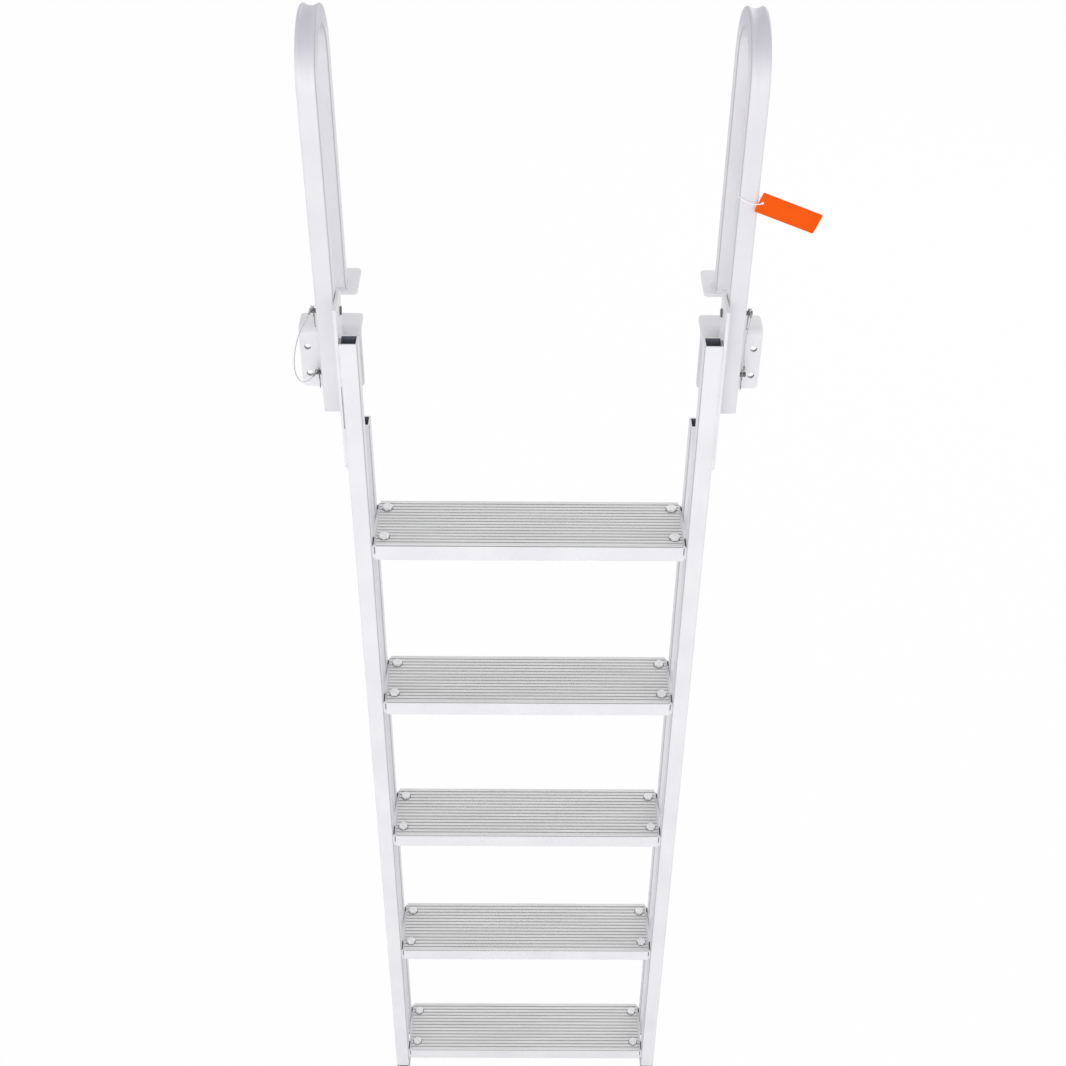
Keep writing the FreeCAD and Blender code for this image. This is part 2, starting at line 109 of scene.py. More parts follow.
fade.inputs["To Max"].default_value = OVERHEAD_LIGHT
sky.links.new(way.outputs["Generated"], height.inputs[0])
sky.links.new(height.outputs["Z"], fade.inputs["Value"])
sky.links.new(fade.outputs[0], sky_light.inputs["Strength"])
sky_seen.inputs["Color"].default_value = (1, 1, 1, 1)
sky_seen.inputs["Strength"].default_value = 1.0
sky.links.new(ray.outputs["Is Camera Ray"], seen.inputs[0])
sky.links.new(ray.outputs["Is Glossy Ray"], seen.inputs[1])
sky.links.new(seen.outputs[0], also.inputs[0])
sky.links.new(ray.outputs["Is Transmission Ray"], also.inputs[1])
sky.links.new(also.outputs[0], sky_mix.inputs["Fac"])
sky.links.new(sky_light.outputs[0], sky_mix.inputs[1])
sky.links.new(sky_seen.outputs[0], sky_mix.inputs[2])
sky.links.new(sky_mix.outputs[0], sky_out.inputs["Surface"])


def soft_lamp(name, place, watts):
    """A broad square lamp that shines from its place towards the ladder."""
    lamp = bpy.data.lights.new(name, "AREA")
    lamp.size = LAMP_SIZE
    lamp.energy = watts
    lamp_object = bpy.data.objects.new(name, lamp)
    aim = Vector(LAMPS_AIM) - Vector(place)
    lamp_object.rotation_euler = aim.to_track_quat("-Z", "Y").to_euler()
    lamp_object.location = place
    bpy.context.collection.objects.link(lamp_object)


soft_lamp("front_lamp", (-0.4, -5.2, 0.3), FRONT_LAMP_WATTS)
soft_lamp("back_lamp", (2.6, 3.6, 1.4), BACK_LAMP_WATTS)

floor_mesh = bmesh.new()
bmesh.ops.create_grid(floor_mesh, x_segments=1, y_segments=1, size=FLOOR_HALF)
bmesh.ops.translate(floor_mesh, verts=floor_mesh.verts, vec=(0.25, 3.0, cad_box[0][2] - FLOOR_DROP))
floor_data = bpy.data.meshes.new("floor")
floor_mesh.to_mesh(floor_data)
floor_mesh.free()
floor = bpy.data.objects.new("floor", floor_data)
bpy.context.collection.objects.link(floor)
floor_paint = bpy.data.materials.new("floor_paint")
floor_paint.use_nodes = True
floor_tree = floor_paint.node_tree
floor_tree.nodes.clear()
floor_out = floor_tree.nodes.new("ShaderNodeOutputMaterial")
floor_mix = floor_tree.nodes.new("ShaderNodeMixShader")
floor_body = floor_tree.nodes.new("ShaderNodeBsdfDiffuse")
floor_white = floor_tree.nodes.new("ShaderNodeEmission")
floor_ray = floor_tree.nodes.new("ShaderNodeLightPath")
floor_share = floor_tree.nodes.new("ShaderNodeMath")
floor_share.operation = "MULTIPLY"
floor_share.inputs[1].default_value = FLOOR_WHITE
floor_body.inputs["Color"].default_value = (0.86, 0.86, 0.87, 1)
floor_white.inputs["Strength"].default_value = 1.0
floor_tree.links.new(floor_ray.outputs["Is Camera Ray"], floor_share.inputs[0])
floor_tree.links.new(floor_share.outputs[0], floor_mix.inputs["Fac"])
floor_tree.links.new(floor_body.outputs[0], floor_mix.inputs[1])
floor_tree.links.new(floor_white.outputs[0], floor_mix.inputs[2])
floor_tree.links.new(floor_mix.outputs[0], floor_out.inputs["Surface"])
floor_data.materials.append(floor_paint)

# Rails and handrails: square aluminium tube, sawn straight for the ladder and bent into hoops to hold. The
# baked white coat has a fine orange-peel grain. Painted shade darkens the corners next to the ladder and the
# hoops' bends. The inside is bare, and painted dark as the shade within the bore.
COAT_DARK = (0.765, 0.765, 0.785, 1)
COAT_LIGHT = (0.815, 0.815, 0.832, 1)
# The handrails are the same coat as the rails, painted a little darker as shade.
HANDRAIL_SHADED_DARK = (0.712, 0.710, 0.738, 1)
HANDRAIL_SHADED_LIGHT = (0.762, 0.760, 0.784, 1)
BEND_PAINTED_SHADE = (0.59, 0.575, 0.635, 1)
COAT_PATCH = (14, 14, 14)
COAT_GRAIN = (900, 900, 900)
COAT_ROUGHNESS = 0.42
BORE_BARE_AND_SHADED = (0.19, 0.195, 0.245, 1)
CORNER_SHADE = (0.46, 0.46, 0.49, 1)
BORE_HALF = 0.0096
CORNER_STARTS = 0.0099
CORNER_ENDS = 0.0110
BEND_SHADE_STARTS = 0.018
BEND_SHADE_ENDS = 0.058
MIDDLE_X = 0.257
RAIL_ASIDE = 0.228
FRONT_RAIL_Y = -0.048
REAR_RAIL_Y = 0.021
HANDRAIL_ASIDE = 0.257
HOOP_MIDDLE_Y = 0.045
HOOP_HALF_SPREAD = 0.062
HOOP_BEND_Z = 0.367
NO_BEND = 10.0
SIDES = ("left", "right")


def new_group(name, sockets, result):
    """A shader group with named inputs and outputs, and its two end nodes."""
    group = bpy.data.node_groups.new(name, "ShaderNodeTree")
    for label, kind in sockets:
        group.interface.new_socket(name=label, in_out="INPUT", socket_type=kind)
    for label, kind in result:
        group.interface.new_socket(name=label, in_out="OUTPUT", socket_type=kind)
    return group, group.nodes.new("NodeGroupInput"), group.nodes.new("NodeGroupOutput")


def node(tree, kind, values=None, **settings):
    """A shader node with its own settings by attribute, and its inputs by name or number."""
    made = tree.nodes.new(kind)
    for key, value in settings.items():
        setattr(made, key, value)
    for key, value in (values or {}).items():
        made.inputs[key].default_value = value
    return made


def patch_group():
    """Cloudy patches of two colours, stretched along any axis by the scale given for each."""
    group, given, result = new_group(
        "patches", [("Place", "NodeSocketVector"), ("Scale", "NodeSocketVector"),
                    ("Dark", "NodeSocketColor"), ("Light", "NodeSocketColor")],
        [("Colour", "NodeSocketColor")])
    stretch = node(group, "ShaderNodeVectorMath", operation="MULTIPLY")
    cloud = node(group, "ShaderNodeTexNoise", {"Scale": 1.0, "Detail": 4.0})
    spread = node(group, "ShaderNodeMapRange", {"From Min": 0.32, "From Max": 0.68})
    blend = node(group, "ShaderNodeMix", data_type="RGBA")
    group.links.new(given.outputs["Place"], stretch.inputs[0])
    group.links.new(given.outputs["Scale"], stretch.inputs[1])
    group.links.new(stretch.outputs[0], cloud.inputs["Vector"])
    group.links.new(cloud.outputs["Fac"], spread.inputs["Value"])
    group.links.new(spread.outputs[0], blend.inputs["Factor"])
    group.links.new(given.outputs["Dark"], blend.inputs["A"])
    group.links.new(given.outputs["Light"], blend.inputs["B"])
    group.links.new(blend.outputs["Result"], result.inputs["Colour"])
    return group


def grain_group():
    """A height that makes a fine grain, stretched along any axis by the scale given for each."""
    group, given, result = new_group(
        "grain", [("Place", "NodeSocketVector"), ("Scale", "NodeSocketVector")],
        [("Height", "NodeSocketFloat")])
    stretch = node(group, "ShaderNodeVectorMath", operation="MULTIPLY")
    cloud = node(group, "ShaderNodeTexNoise", {"Scale": 1.0, "Detail": 2.0})
    group.links.new(given.outputs["Place"], stretch.inputs[0])
    group.links.new(given.outputs["Scale"], stretch.inputs[1])
    group.links.new(stretch.outputs[0], cloud.inputs["Vector"])
    group.links.new(cloud.outputs["Fac"], result.inputs["Height"])
    return group


PATCHES = patch_group()
GRAIN = grain_group()


def finish_material(name, dark, light, roughness, metallic, patch, grain, depth):
    """A finish of patchy colour with a fine grain: its material, tree, shader, place and colour."""
    made = bpy.data.materials.new(name)
    made.use_nodes = True
    tree = made.node_tree
    shader = tree.nodes["Principled BSDF"]
    shader.inputs["Roughness"].default_value = roughness
    shader.inputs["Metallic"].default_value = metallic
    place = node(tree, "ShaderNodeTexCoord").outputs["Object"]
    colour = node(tree, "ShaderNodeGroup", node_tree=PATCHES)
    colour.inputs["Scale"].default_value = patch
    colour.inputs["Dark"].default_value = dark
    colour.inputs["Light"].default_value = light
    relief = node(tree, "ShaderNodeGroup", node_tree=GRAIN)
    relief.inputs["Scale"].default_value = grain
    bump = node(tree, "ShaderNodeBump", {"Strength": 0.5, "Distance": depth})
    tree.links.new(place, colour.inputs["Place"])
    tree.links.new(place, relief.inputs["Place"])
    tree.links.new(relief.outputs["Height"], bump.inputs["Height"])
    tree.links.new(bump.outputs["Normal"], shader.inputs["Normal"])
    tree.links.new(colour.outputs["Colour"], shader.inputs["Base Color"])
    return made, tree, shader, place, colour.outputs["Colour"]


def reckon(tree, operation, first, second=None):
    """One sum in a shader tree, from sockets or numbers."""
    made = node(tree, "ShaderNodeMath", operation=operation)
    for socket, value in zip(made.inputs, (first, second)):
        if isinstance(value, float):
            socket.default_value = value
        elif value is not None:
            tree.links.new(value, socket)
    return made.outputs[0]


def tube_mask_group():
    """Masks for a square tube on a straight or hooped line: bore, corners next to the ladder, and bend."""
    group, given, result = new_group(
        "tube_masks", [("Place", "NodeSocketVector"), ("Out X", "NodeSocketFloat"),
                       ("Middle Y", "NodeSocketFloat"), ("Half Spread", "NodeSocketFloat"),
                       ("Bend Z", "NodeSocketFloat")],
        [("Bore", "NodeSocketFloat"), ("Corner", "NodeSocketFloat"), ("Bend", "NodeSocketFloat")])
    parts = node(group, "ShaderNodeSeparateXYZ")
    group.links.new(given.outputs["Place"], parts.inputs[0])
    aside = reckon(group, "ABSOLUTE", reckon(group, "SUBTRACT", parts.outputs["X"], MIDDLE_X))
    outward = reckon(group, "SUBTRACT", aside, given.outputs["Out X"])
    across = reckon(group, "ABSOLUTE", outward)
    from_middle = reckon(group, "SUBTRACT", parts.outputs["Y"], given.outputs["Middle Y"])
    above = reckon(group, "MAXIMUM",
                   reckon(group, "SUBTRACT", parts.outputs["Z"], given.outputs["Bend Z"]), 0.0)
    squares = reckon(group, "ADD", reckon(group, "MULTIPLY", from_middle, from_middle),
                     reckon(group, "MULTIPLY", above, above))
    round_bend = reckon(group, "SQRT", squares)
    through = reckon(group, "ABSOLUTE", reckon(group, "SUBTRACT", round_bend, given.outputs["Half Spread"]))
    inside = reckon(group, "LESS_THAN", reckon(group, "MAXIMUM", across, through), BORE_HALF)
    bore = reckon(group, "MULTIPLY", inside, reckon(group, "LESS_THAN", above, 0.0001))
    corner = node(group, "ShaderNodeMapRange", {"From Min": CORNER_STARTS, "From Max": CORNER_ENDS})
    group.links.new(reckon(group, "MINIMUM", across, through), corner.inputs["Value"])
    near_ladder = reckon(group, "MULTIPLY", corner.outputs[0], reckon(group, "LESS_THAN", outward, 0.0))
    bend = node(group, "ShaderNodeMapRange", {"From Min": BEND_SHADE_STARTS, "From Max": BEND_SHADE_ENDS},
                interpolation_type="SMOOTHSTEP")
    group.links.new(above, bend.inputs["Value"])
    group.links.new(bend.outputs[0], result.inputs["Bend"])
    group.links.new(bore, result.inputs["Bore"])
    group.links.new(near_ladder, result.inputs["Corner"])
    return group


TUBE_MASKS = tube_mask_group()


def coat_material(name, dark=COAT_DARK, light=COAT_LIGHT):
    """The powder coat as it lies on plates."""
    made, tree, shader, place, colour = finish_material(name, dark, light, COAT_ROUGHNESS, 0.0,
                                                        COAT_PATCH, COAT_GRAIN, 0.00004)
    shader.inputs["Coat Weight"].default_value = 0.12
    shader.inputs["Coat Roughness"].default_value = 0.25
    return made, tree, shader, place, colour


def tube_coat(name, out_x, middle_y, half_spread, bend_z, dark=COAT_DARK, light=COAT_LIGHT):
    """The powder coat on square tube that stands at one place or bends over in a hoop."""
    made, tree, shader, place, colour = coat_material(name, dark, light)
    masks = node(tree, "ShaderNodeGroup", node_tree=TUBE_MASKS)
    for label, value in (("Out X", out_x), ("Middle Y", middle_y), ("Half Spread", half_spread),
                         ("Bend Z", bend_z)):
        masks.inputs[label].default_value = value
    # Painted shade over the hoop's bend.
    bend_painted_shade = node(tree, "ShaderNodeMix", {"B": BEND_PAINTED_SHADE}, data_type="RGBA")
    # Painted shade on the tube's corners next to the ladder.
    corner_painted_shade = node(tree, "ShaderNodeMix", {"B": CORNER_SHADE}, data_type="RGBA")
    # The bare bore, painted dark as its shade.
    inside = node(tree, "ShaderNodeMix", {"B": BORE_BARE_AND_SHADED}, data_type="RGBA")
    tree.links.new(place, masks.inputs["Place"])
    tree.links.new(masks.outputs["Bend"], bend_painted_shade.inputs["Factor"])
    tree.links.new(colour, bend_painted_shade.inputs["A"])
    tree.links.new(masks.outputs["Corner"], corner_painted_shade.inputs["Factor"])
    tree.links.new(bend_painted_shade.outputs["Result"], corner_painted_shade.inputs["A"])
    tree.links.new(masks.outputs["Bore"], inside.inputs["Factor"])
    tree.links.new(corner_painted_shade.outputs["Result"], inside.inputs["A"])
    tree.links.new(inside.outputs["Result"], shader.inputs["Base Color"])
    return made


def dress(names, material):
    """Gives CAD nodes their finish."""
    for name in names:
        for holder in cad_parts[name].material_slots:
            holder.material = material


dress([side + "_front_rail" for side in SIDES],
      tube_coat("front_rail_coat", RAIL_ASIDE, FRONT_RAIL_Y, 0.0, NO_BEND))
dress([side + "_rear_rail" for side in SIDES],
      tube_coat("rear_rail_coat", RAIL_ASIDE, REAR_RAIL_Y, 0.0, NO_BEND))
dress([side + "_handrail" for side in SIDES],
      tube_coat("handrail_coat", HANDRAIL_ASIDE, HOOP_MIDDLE_Y, HOOP_HALF_SPREAD, HOOP_BEND_Z,
                HANDRAIL_SHADED_DARK, HANDRAIL_SHADED_LIGHT))

# Plates and step frames: the foot plates and hinge plates are sawn from flat bar, and each step's frame is
# a ring of square tube with round corners. They are coated after the work, so the coat covers them all round.
plate_coat = coat_material("plate_coat")[0]
dress([side + part for side in SIDES for part in ("_foot_plate", "_hinge_plate")], plate_coat)
dress(["step_frame_%d" % number for number in range(1, 6)], plate_coat)

# Brackets: thick plates bent over the dock's edge and drilled for four bolts each, in the same coat. Inside
# the holes it is darkened with painted shade.
HOLE_ASIDE = 0.030
HOLE_UP = 0.020
HOLE_REACH = 0.0044
HOLE_SHADE = (0.30, 0.30, 0.32, 1)
bracket_coat, bracket_tree, bracket_shader, bracket_place, bracket_colour = coat_material("bracket_coat")
bracket_parts = node(bracket_tree, "ShaderNodeSeparateXYZ")
bracket_tree.links.new(bracket_place, bracket_parts.inputs[0])
from_middle = reckon(bracket_tree, "ABSOLUTE",
                     reckon(bracket_tree, "SUBTRACT", bracket_parts.outputs["X"], MIDDLE_X))
from_leg = reckon(bracket_tree, "ABSOLUTE", reckon(bracket_tree, "SUBTRACT", from_middle, HANDRAIL_ASIDE))
from_column = reckon(bracket_tree, "SUBTRACT", from_leg, HOLE_ASIDE)
from_row = reckon(bracket_tree, "SUBTRACT",
                  reckon(bracket_tree, "ABSOLUTE", bracket_parts.outputs["Z"]), HOLE_UP)
from_axis = reckon(bracket_tree, "ADD", reckon(bracket_tree, "MULTIPLY", from_column, from_column),
                   reckon(bracket_tree, "MULTIPLY", from_row, from_row))
# Painted shade on the holes' walls.
in_hole = reckon(bracket_tree, "LESS_THAN", from_axis, HOLE_REACH ** 2)
hole_shade = node(bracket_tree, "ShaderNodeMix", {"B": HOLE_SHADE}, data_type="RGBA")
bracket_tree.links.new(in_hole, hole_shade.inputs["Factor"])
bracket_tree.links.new(bracket_colour, hole_shade.inputs["A"])
bracket_tree.links.new(hole_shade.outputs["Result"], bracket_shader.inputs["Base Color"])
dress([side + "_bracket" for side in SIDES], bracket_coat)

# Weld beads: laid by hand and coated over. Each is a row of overlapping ripples, sunk half into its joint.
# These hold the hinge plates to the rails, and the handrails to their foot plates and brackets.
weld_coat = finish_material("weld_coat", (0.70, 0.70, 0.73, 1), (0.80, 0.80, 0.83, 1), 0.4, 0.0,
                            (60, 60, 60), (1500, 1500, 1500), 0.00008)[0]
RIPPLE = 0.0022
HINGE_BEAD = 0.0044
FOOT_BEAD = 0.0046
LEG_BEAD = 0.0040
RAIL_OUTSIDE = 0.2400
HINGE_BEAD_Y = -0.0576
HINGE_RUNS = {"left": ((0.053, -0.007), (-0.071, -0.135)), "right": ((0.053, -0.135),)}
REAR_LEG_Y = 0.107
FOOT_BEAD_OUT = 0.0125
FOOT_BEAD_HALF = 0.011
FOOT_BEAD_Z = 0.0478
LEG_BEAD_OUT = 0.0122
LEG_BEAD_Y = -0.0056
LEG_BEAD_TOPS = (0.024, -0.008)
LEG_BEAD_LENGTH = 0.026


def finish_mesh(name, mesh, material, body):
    """A bmesh made into a piece at the origin that rides on a body."""
    bmesh.ops.recalc_face_normals(mesh, faces=mesh.faces)
    data = bpy.data.meshes.new(name)
    mesh.to_mesh(data)
    mesh.free()
    data.materials.append(material)
    piece = bpy.data.objects.new(name, data)
    bpy.context.collection.objects.link(piece)
    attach(piece, body)
    return piece


def join_in(whole, part):
    """Adds one bmesh to another, and frees it."""
    loose = bpy.data.meshes.new("loose")
    part.to_mesh(loose)
    part.free()
    whole.from_mesh(loose)
    bpy.data.meshes.remove(loose)


def weld_beads(name, runs, width, body, coat=weld_coat):
    """Straight beads from point to point, as one piece."""
    beads = bmesh.new()
    for start, end in runs:
        start = Vector(start)
        end = Vector(end)
        length = (end - start).length
        ripples = max(2, round(length / RIPPLE))
        bead = bmesh.new()
        bmesh.ops.create_cone(bead, cap_ends=True, segments=10, radius1=width / 2, radius2=width / 2,
                              depth=length)
        long_edges = [edge for edge in bead.edges
                      if abs(edge.verts[0].co.z - edge.verts[1].co.z) > length / 2]
        bmesh.ops.subdivide_edges(bead, edges=long_edges, cuts=ripples * 4 - 1)
        for vertex in bead.verts:
            along = vertex.co.z / length + 0.5
            wave = abs(math.sin(along * ripples * math.pi))
            taper = min(1.0, 0.35 + 3.2 * math.sqrt(max(0.0, min(along, 1 - along) * length / 0.02)))
            swell = (0.86 + 0.14 * wave) * taper
            vertex.co.x *= swell
            vertex.co.y *= swell
        swing = (end - start).to_track_quat("Z", "Y").to_matrix().to_4x4()
        bmesh.ops.transform(bead, matrix=Matrix.Translation((start + end) / 2) @ swing, verts=bead.verts)
        join_in(beads, bead)
    return finish_mesh(name, beads, coat, body)


for side, outward in (("left", -1), ("right", 1)):
    rail_side = MIDDLE_X + outward * RAIL_OUTSIDE
    hoop_x = MIDDLE_X + outward * HANDRAIL_ASIDE
    weld_beads(side + "_hinge_weld",
               [((rail_side, HINGE_BEAD_Y, top), (rail_side, HINGE_BEAD_Y, low))
                for top, low in HINGE_RUNS[side]], HINGE_BEAD, "ladder")
    foot_runs = []
    for y in (REAR_LEG_Y - FOOT_BEAD_OUT, REAR_LEG_Y + FOOT_BEAD_OUT):
        foot_runs.append(((hoop_x - FOOT_BEAD_HALF, y, FOOT_BEAD_Z),
                          (hoop_x + FOOT_BEAD_HALF, y, FOOT_BEAD_Z)))
    for x in (hoop_x - FOOT_BEAD_OUT, hoop_x + FOOT_BEAD_OUT):
        foot_runs.append(((x, REAR_LEG_Y - FOOT_BEAD_HALF, FOOT_BEAD_Z),
                          (x, REAR_LEG_Y + FOOT_BEAD_HALF, FOOT_BEAD_Z)))
    weld_beads(side + "_foot_weld", foot_runs, FOOT_BEAD, "handrails")
    weld_beads(side + "_leg_weld",
               [((x, LEG_BEAD_Y, top), (x, LEG_BEAD_Y, top - LEG_BEAD_LENGTH))
                for x in (hoop_x - LEG_BEAD_OUT, hoop_x + LEG_BEAD_OUT) for top in LEG_BEAD_TOPS],
               LEG_BEAD, "handrails")

# The short bead at each front rail's open top, beside the hinge plate. It was laid after the rest and is
# scorched dark.
burnt_coat = finish_material("burnt_coat", (0.09, 0.068, 0.058, 1), (0.46, 0.42, 0.40, 1), 0.5, 0.0,
                             (420, 420, 420), (1500, 1500, 1500), 0.00008)[0]
TOP_BEAD = 0.0024
TOP_BEAD_ASIDE = 0.2390
TOP_BEAD_FRONT = -0.0578
TOP_BEAD_BACK = -0.0440
TOP_BEAD_Z = 0.0560
for side, outward in (("left", -1), ("right", 1)):
    top_bead_x = MIDDLE_X + outward * TOP_BEAD_ASIDE
    weld_beads(side + "_top_weld",
               [((top_bead_x, TOP_BEAD_FRONT, TOP_BEAD_Z), (top_bead_x, TOP_BEAD_BACK, TOP_BEAD_Z))],
               TOP_BEAD, "ladder", burnt_coat)

# The steps' beads: one under each corner of a step's frame, across the rail, and one down the front of
# each joint.
STEP_SPACING = 0.3
STEP_TOPS = [-0.262 - STEP_SPACING * index for index in range(5)]
STEP_BEAD = 0.0042
STEP_BEAD_HALF = 0.009
UNDER_ASIDE = 0.2158
UNDER_ROWS = (-0.045, 0.020)
UNDER_BELOW = 0.0272
FRONT_ASIDE = 0.2153
FRONT_Y = -0.0577
FRONT_STARTS = 0.0040
FRONT_ENDS = 0.0240
for number, step_top in enumerate(STEP_TOPS, 1):
    runs = []
    for outward in (-1, 1):
        under_x = MIDDLE_X + outward * UNDER_ASIDE
        for y in UNDER_ROWS:
            runs.append(((under_x, y - STEP_BEAD_HALF, step_top - UNDER_BELOW),
                         (under_x, y + STEP_BEAD_HALF, step_top - UNDER_BELOW)))
    for outward in (-1, 1):
        front_x = MIDDLE_X + outward * FRONT_ASIDE
        runs.append(((front_x, FRONT_Y, step_top - FRONT_STARTS), (front_x, FRONT_Y, step_top - FRONT_ENDS)))
    weld_beads("step_weld_%d" % number, runs, STEP_BEAD, "ladder")

# Open joints that no bead covers: beside the left hinge plate, and where the steps' round corners meet the
# rails. Their shade is painted in with thin dark bars. A step's bars are in its front face, and on top at its
# rear and front corners, each by its distance from the middle, its y, its depth below the top and its size.
HINGE_SHADE_BAR_PLACE = (MIDDLE_X - 0.2406, -0.0584, -0.039)
HINGE_SHADE_BAR_SIZE = (0.0010, 0.0012, 0.064)
STEP_SHADE_BARS = (
    (0.2128, -0.0593, 0.0105, (0.0010, 0.0010, 0.012)),
    (0.2150, 0.0285, 0.0024, (0.0018, 0.0090, 0.0006)),
    (0.2151, -0.0485, 0.0024, (0.0016, 0.0160, 0.0006)),
)
slit_painted_shade = finish_material("slit_painted_shade", (0.04, 0.04, 0.05, 1), (0.08, 0.08, 0.09, 1), 0.8, 0.0,
                             (200, 200, 200), (900, 900, 900), 0.00004)[0]


def shade_bar(mesh, centre, size):
    """A thin bar of painted shade with rounded edges, added to a bmesh."""
    bar = bmesh.new()
    bmesh.ops.create_cube(bar, size=1.0)
    bmesh.ops.scale(bar, vec=size, verts=bar.verts)
    bmesh.ops.bevel(bar, geom=bar.edges[:], offset=0.25 * min(size), segments=2, profile=0.5, affect="EDGES",
                    material=-1)
    bmesh.ops.translate(bar, verts=bar.verts, vec=centre)
    join_in(mesh, bar)


hinge_joint = bmesh.new()
shade_bar(hinge_joint, HINGE_SHADE_BAR_PLACE, HINGE_SHADE_BAR_SIZE)
finish_mesh("left_hinge_painted_shade", hinge_joint, slit_painted_shade, "ladder")
step_joints = bmesh.new()
for step_top in STEP_TOPS:
    for outward in (-1, 1):
        for aside, y, below, size in STEP_SHADE_BARS:
            shade_bar(step_joints, (MIDDLE_X + outward * aside, y, step_top - below), size)
finish_mesh("step_joint_painted_shade", step_joints, slit_painted_shade, "ladder")

# Treads: extruded aluminium plates with long ribs, bare and satin, with faint drawing lines along them.
# They are bolted to the step frames. Painted shade darkens the grooves and the long edge faces.
TREAD_DARK = (0.70, 0.70, 0.70, 1)
TREAD_LIGHT = (0.80, 0.80, 0.80, 1)
GROOVE_SHADE = (0.52, 0.52, 0.52, 1)
EDGE_SHADE = (0.28, 0.28, 0.285, 1)
RIB_TOP = 0.0003
GROOVE_FLOOR = 0.0010
EDGE_STARTS = 0.0013
TREAD_END = 0.2112
TREAD_REACH = 0.1
tread_metal, tread_tree, tread_shader, tread_place, tread_colour = finish_material(
    "tread_metal", TREAD_DARK, TREAD_LIGHT, 0.5, 0.15, (9, 160, 20), (30, 900, 900), 0.000003)
tread_parts = node(tread_tree, "ShaderNodeSeparateXYZ")
tread_tree.links.new(tread_place, tread_parts.inputs["Vector"])
below_top = reckon(tread_tree, "FLOORED_MODULO",
                   reckon(tread_tree, "SUBTRACT", STEP_TOPS[0], tread_parts.outputs["Z"]), STEP_SPACING)
not_above = reckon(tread_tree, "LESS_THAN", below_top, TREAD_REACH)
groove = node(tread_tree, "ShaderNodeMapRange", {"From Min": RIB_TOP, "From Max": GROOVE_FLOOR})
tread_tree.links.new(below_top, groove.inputs["Value"])
in_groove = reckon(tread_tree, "MULTIPLY", groove.outputs[0], not_above)
from_middle = reckon(tread_tree, "ABSOLUTE",
                     reckon(tread_tree, "SUBTRACT", tread_parts.outputs["X"], MIDDLE_X))
between_ends = reckon(tread_tree, "MULTIPLY", not_above,
                      reckon(tread_tree, "LESS_THAN", from_middle, TREAD_END))
on_edge = reckon(tread_tree, "MULTIPLY", reckon(tread_tree, "GREATER_THAN", below_top, EDGE_STARTS),
                 between_ends)
# Painted shade in the grooves.
groove_painted_shade = node(tread_tree, "ShaderNodeMix", {"B": GROOVE_SHADE}, data_type="RGBA")
# Painted shade on the tread's long edge faces.
edge_painted_shade = node(tread_tree, "ShaderNodeMix", {"B": EDGE_SHADE}, data_type="RGBA")
tread_tree.links.new(in_groove, groove_painted_shade.inputs["Factor"])
tread_tree.links.new(tread_colour, groove_painted_shade.inputs["A"])
tread_tree.links.new(on_edge, edge_painted_shade.inputs["Factor"])
tread_tree.links.new(groove_painted_shade.outputs["Result"], edge_painted_shade.inputs["A"])
tread_tree.links.new(edge_painted_shade.outputs["Result"], tread_shader.inputs["Base Color"])
dress(["step_tread_%d" % number for number in range(1, 6)], tread_metal)

# Tread bolts: hexagon heads in bright steel, turned to a cone at the top corners. Each stands on a thin
# washer, painted dark as the shade round the head's foot.
WASHER_PAINTED_SHADE = (0.24, 0.24, 0.24, 1)
WASHER_TOP = 0.0007
WASHER = 0.0006
FLATS = 0.013
WASHER_FOOT = 0.62 * FLATS
WASHER_RIM = 0.60 * FLATS
HEAD = 0.0044
CONE_STARTS = 0.46 * FLATS
CHAMFER = math.tan(math.radians(30))
RIM = 0.0011
DISH = 0.0012
DISH_DEPTH = 0.0002
BOLT_ASIDE = 0.2005
BOLT_ROWS = (-0.0426, 0.0226)
bolt_steel, bolt_tree, bolt_shader, bolt_place, bolt_colour = finish_material(
    "bolt_steel", (0.76, 0.76, 0.77, 1), (0.88, 0.88, 0.89, 1), 0.4, 0.25,
    (300, 300, 300), (1500, 1500, 1500), 0.00003)
bolt_parts = node(bolt_tree, "ShaderNodeSeparateXYZ")
bolt_tree.links.new(bolt_place, bolt_parts.inputs[0])
above_tread = reckon(bolt_tree, "FLOORED_MODULO",
                     reckon(bolt_tree, "SUBTRACT", bolt_parts.outputs["Z"], STEP_TOPS[0]), STEP_SPACING)
# The washer painted dark as the shade round the head.
washer_painted_shade = node(bolt_tree, "ShaderNodeMix", {"B": WASHER_PAINTED_SHADE}, data_type="RGBA")
bolt_tree.links.new(reckon(bolt_tree, "LESS_THAN", above_tread, WASHER_TOP), washer_painted_shade.inputs["Factor"])
bolt_tree.links.new(bolt_colour, washer_painted_shade.inputs["A"])
bolt_tree.links.new(washer_painted_shade.outputs["Result"], bolt_shader.inputs["Base Color"])


